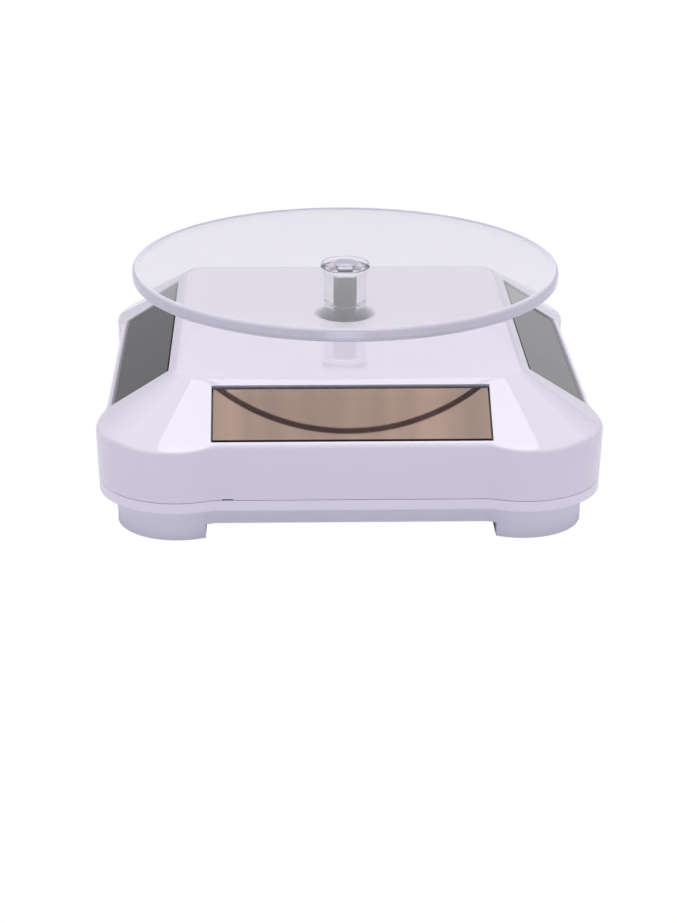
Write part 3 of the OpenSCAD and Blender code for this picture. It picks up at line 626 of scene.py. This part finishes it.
def make_materials():
    """The materials by name: one for each of the record's slots, and more for some faces of a piece."""
    streak_z = (1, 1, 0.05)
    return {
        "white_plastic": dimple_shade(moulded("white_plastic", (0.80, 0.785, 0.89), 0.05)),
        "cover_plastic": moulded("cover_plastic", (0.87, 0.855, 0.965), 0.12),
        "solar_glass": solar("solar_glass", *THIN_FILM, "x"),
        "solar_glass_side": solar("solar_glass_side", *THIN_FILM, "y"),
        "panel_board": moulded("panel_board", (0.035, 0.02, 0.02), 0.3),
        "steel": metal("steel", (0.62, 0.63, 0.65), 0.25, streak_z),
        "motor_steel": metal("motor_steel", (0.6, 0.6, 0.58), 0.35),
        "gear_plastic": moulded("gear_plastic", (0.82, 0.8, 0.73), 0.4),
        "brass": metal("brass", (0.78, 0.6, 0.28), 0.28),
        "nickel": metal("nickel", (0.7, 0.68, 0.63), 0.2),
        "black_plastic": moulded("black_plastic", (0.025, 0.025, 0.028), 0.45),
        "magnet": moulded("magnet", (0.05, 0.05, 0.055), 0.6, 0.02 * MM),
        "board": moulded("board", (0.03, 0.16, 0.06), 0.35),
        "cell_jacket": metal("cell_jacket", (0.5, 0.06, 0.05), 0.3),
        "wire_red": moulded("wire_red", (0.55, 0.02, 0.015), 0.35),
        "wire_black": moulded("wire_black", (0.02, 0.02, 0.02), 0.35),
        "copper": metal("copper", (0.8, 0.35, 0.18), 0.3),
        "grey_plastic": moulded("grey_plastic", (0.055, 0.052, 0.068), 0.5),
        "clear_acrylic": clear("clear_acrylic"),
        # Pale colours painted on the disc's rim and the hub's dish for the light that comes out of the
        # clear edge; the second, darker copy is painted shade on the rim's lower rounding.
        "rim_painted_light": rim_painted_light("rim_painted_light", (0.86, 0.85, 0.97), 0.2),
        "lower_rim_painted_dim_light": rim_painted_light("lower_rim_painted_dim_light", (0.74, 0.73, 0.85), 0.2)}


def dress_nodes(materials):
    """Gives every CAD node the material of its slot."""
    for part in frame["record"]["subparts"]:
        mesh = NODES[part["node"]].data
        mesh.materials.clear()
        mesh.materials.append(materials[part["material_slot"]])


def soften_node(name, width):
    """Joins a CAD node's flat triangles and rounds its edges by width."""
    piece = NODES[name]
    flat = piece.modifiers.new("flat", "DECIMATE")
    flat.decimate_type = "DISSOLVE"
    flat.angle_limit = math.radians(1)
    bevel_edges(piece, width, 3, 40)


# ---- Studio ----

def make_floor():
    """A floor that is plain white to the camera and pale plastic to the light."""
    half, z = 12, -0.05 * MM
    corners = [(-half, -half, z), (half, -half, z), (half, half, z), (-half, half, z)]
    mesh = bpy.data.meshes.new("floor")
    mesh.from_pydata(corners, [], [(0, 1, 2, 3)])
    floor = bpy.data.objects.new("floor", mesh)
    bpy.context.scene.collection.objects.link(floor)
    material = shader("floor_white", (0.86, 0.86, 0.9), 0.7, Specular_IOR_Level=0.1)
    mesh.materials.append(material)
    white = node(material, "ShaderNodeEmission")
    ray = node(material, "ShaderNodeLightPath")
    mix = node(material, "ShaderNodeMixShader")
    link(material, ray.outputs["Is Camera Ray"], mix.inputs["Fac"])
    link(material, material.node_tree.nodes["Principled BSDF"].outputs["BSDF"], mix.inputs[1])
    link(material, white.outputs["Emission"], mix.inputs[2])
    link(material, mix.outputs["Shader"], material.node_tree.nodes["Material Output"].inputs["Surface"])


def make_world(horizon, zenith):
    """Soft light all round that grows from the horizon to a bright ceiling, behind a white backdrop."""
    world = bpy.data.worlds.new("studio")
    bpy.context.scene.world = world
    world.use_nodes = True
    background = world.node_tree.nodes["Background"]
    coords = node(world, "ShaderNodeTexCoord")
    split = node(world, "ShaderNodeSeparateXYZ")
    strength = node(world, "ShaderNodeMapRange")
    strength.interpolation_type = "SMOOTHSTEP"
    strength.inputs["From Min"].default_value = 0.15
    strength.inputs["From Max"].default_value = 0.98
    strength.inputs["To Min"].default_value = horizon
    strength.inputs["To Max"].default_value = zenith
    link(world, coords.outputs["Generated"], split.inputs["Vector"])
    link(world, split.outputs["Z"], strength.inputs["Value"])
    link(world, strength.outputs["Result"], background.inputs["Strength"])
    tint = ramp(world, split.outputs["Z"], [(0.1, (0.93, 0.95, 1.05)), (0.9, (1.0, 0.94, 0.965))])
    link(world, tint, background.inputs["Color"])
    backdrop = node(world, "ShaderNodeBackground", Strength=1.0)
    backdrop.inputs["Color"].default_value = (1, 1, 1, 1)
    ray = node(world, "ShaderNodeLightPath")
    mix = node(world, "ShaderNodeMixShader")
    link(world, ray.outputs["Is Camera Ray"], mix.inputs["Fac"])
    link(world, background.outputs["Background"], mix.inputs[1])
    link(world, backdrop.outputs["Background"], mix.inputs[2])
    link(world, mix.outputs["Shader"], world.node_tree.nodes["World Output"].inputs["Surface"])


def make_softbox(name, place, size, power):
    """A soft rectangular light that faces the object."""
    data = bpy.data.lights.new(name, "AREA")
    data.shape = "RECTANGLE"
    data.size, data.size_y = size
    data.energy = power
    light = bpy.data.objects.new(name, data)
    bpy.context.scene.collection.objects.link(light)
    light.location = place
    middle = Vector((0, 0, 30 * MM))
    towards = middle - Vector(place)
    light.rotation_mode = "QUATERNION"
    light.rotation_quaternion = towards.to_track_quat("-Z", "Y")


def make_camera():
    """The front view, aimed a little under the middle of the base."""
    target = Vector((-1.37, 0, -2.39)) * MM
    azimuth, elevation, roll = math.radians(-1.744), math.radians(21.80), math.radians(0.279)
    distance = 537.2 * MM
    data = bpy.data.cameras.new("camera")
    data.lens = 85.96
    data.sensor_width = 36
    camera = bpy.data.objects.new("camera", data)
    bpy.context.scene.collection.objects.link(camera)
    back = Vector((math.sin(azimuth) * math.cos(elevation), -math.cos(azimuth) * math.cos(elevation),
                   math.sin(elevation)))
    right = Vector((math.cos(azimuth), math.sin(azimuth), 0))
    up = back.cross(right)
    axes = Matrix((right, up, back)).transposed().to_4x4() @ Matrix.Rotation(roll, 4, "Z")
    camera.matrix_world = Matrix.Translation(target + back * distance) @ axes
    bpy.context.scene.camera = camera


def main():
    materials = make_materials()
    dress_nodes(materials)
    make_shell(materials["white_plastic"])
    # The last two materials are painted light on the disc's rim and dish, and its darker copy, painted
    # shade, on the rim's lower rounding.
    make_disc(materials["clear_acrylic"], materials["grey_plastic"], materials["rim_painted_light"],
              materials["lower_rim_painted_dim_light"])
    for side, name in enumerate(("front", "right", "back", "left")):
        cells = materials["solar_glass_side" if side % 2 else "solar_glass"]
        make_panel("solar_panel_" + name, side, cells, materials["panel_board"])
    soften_node("bottom_cover", 0.35 * MM)
    soften_node("battery_door", 0.15 * MM)
    soften_node("drive_peg", 0.1 * MM)
    make_floor()
    make_world(HORIZON_LIGHT, ZENITH_LIGHT)
    for box in SOFTBOXES:
        make_softbox(*box)
    make_camera()
    bpy.context.scene.view_settings.view_transform = "Standard"


main()
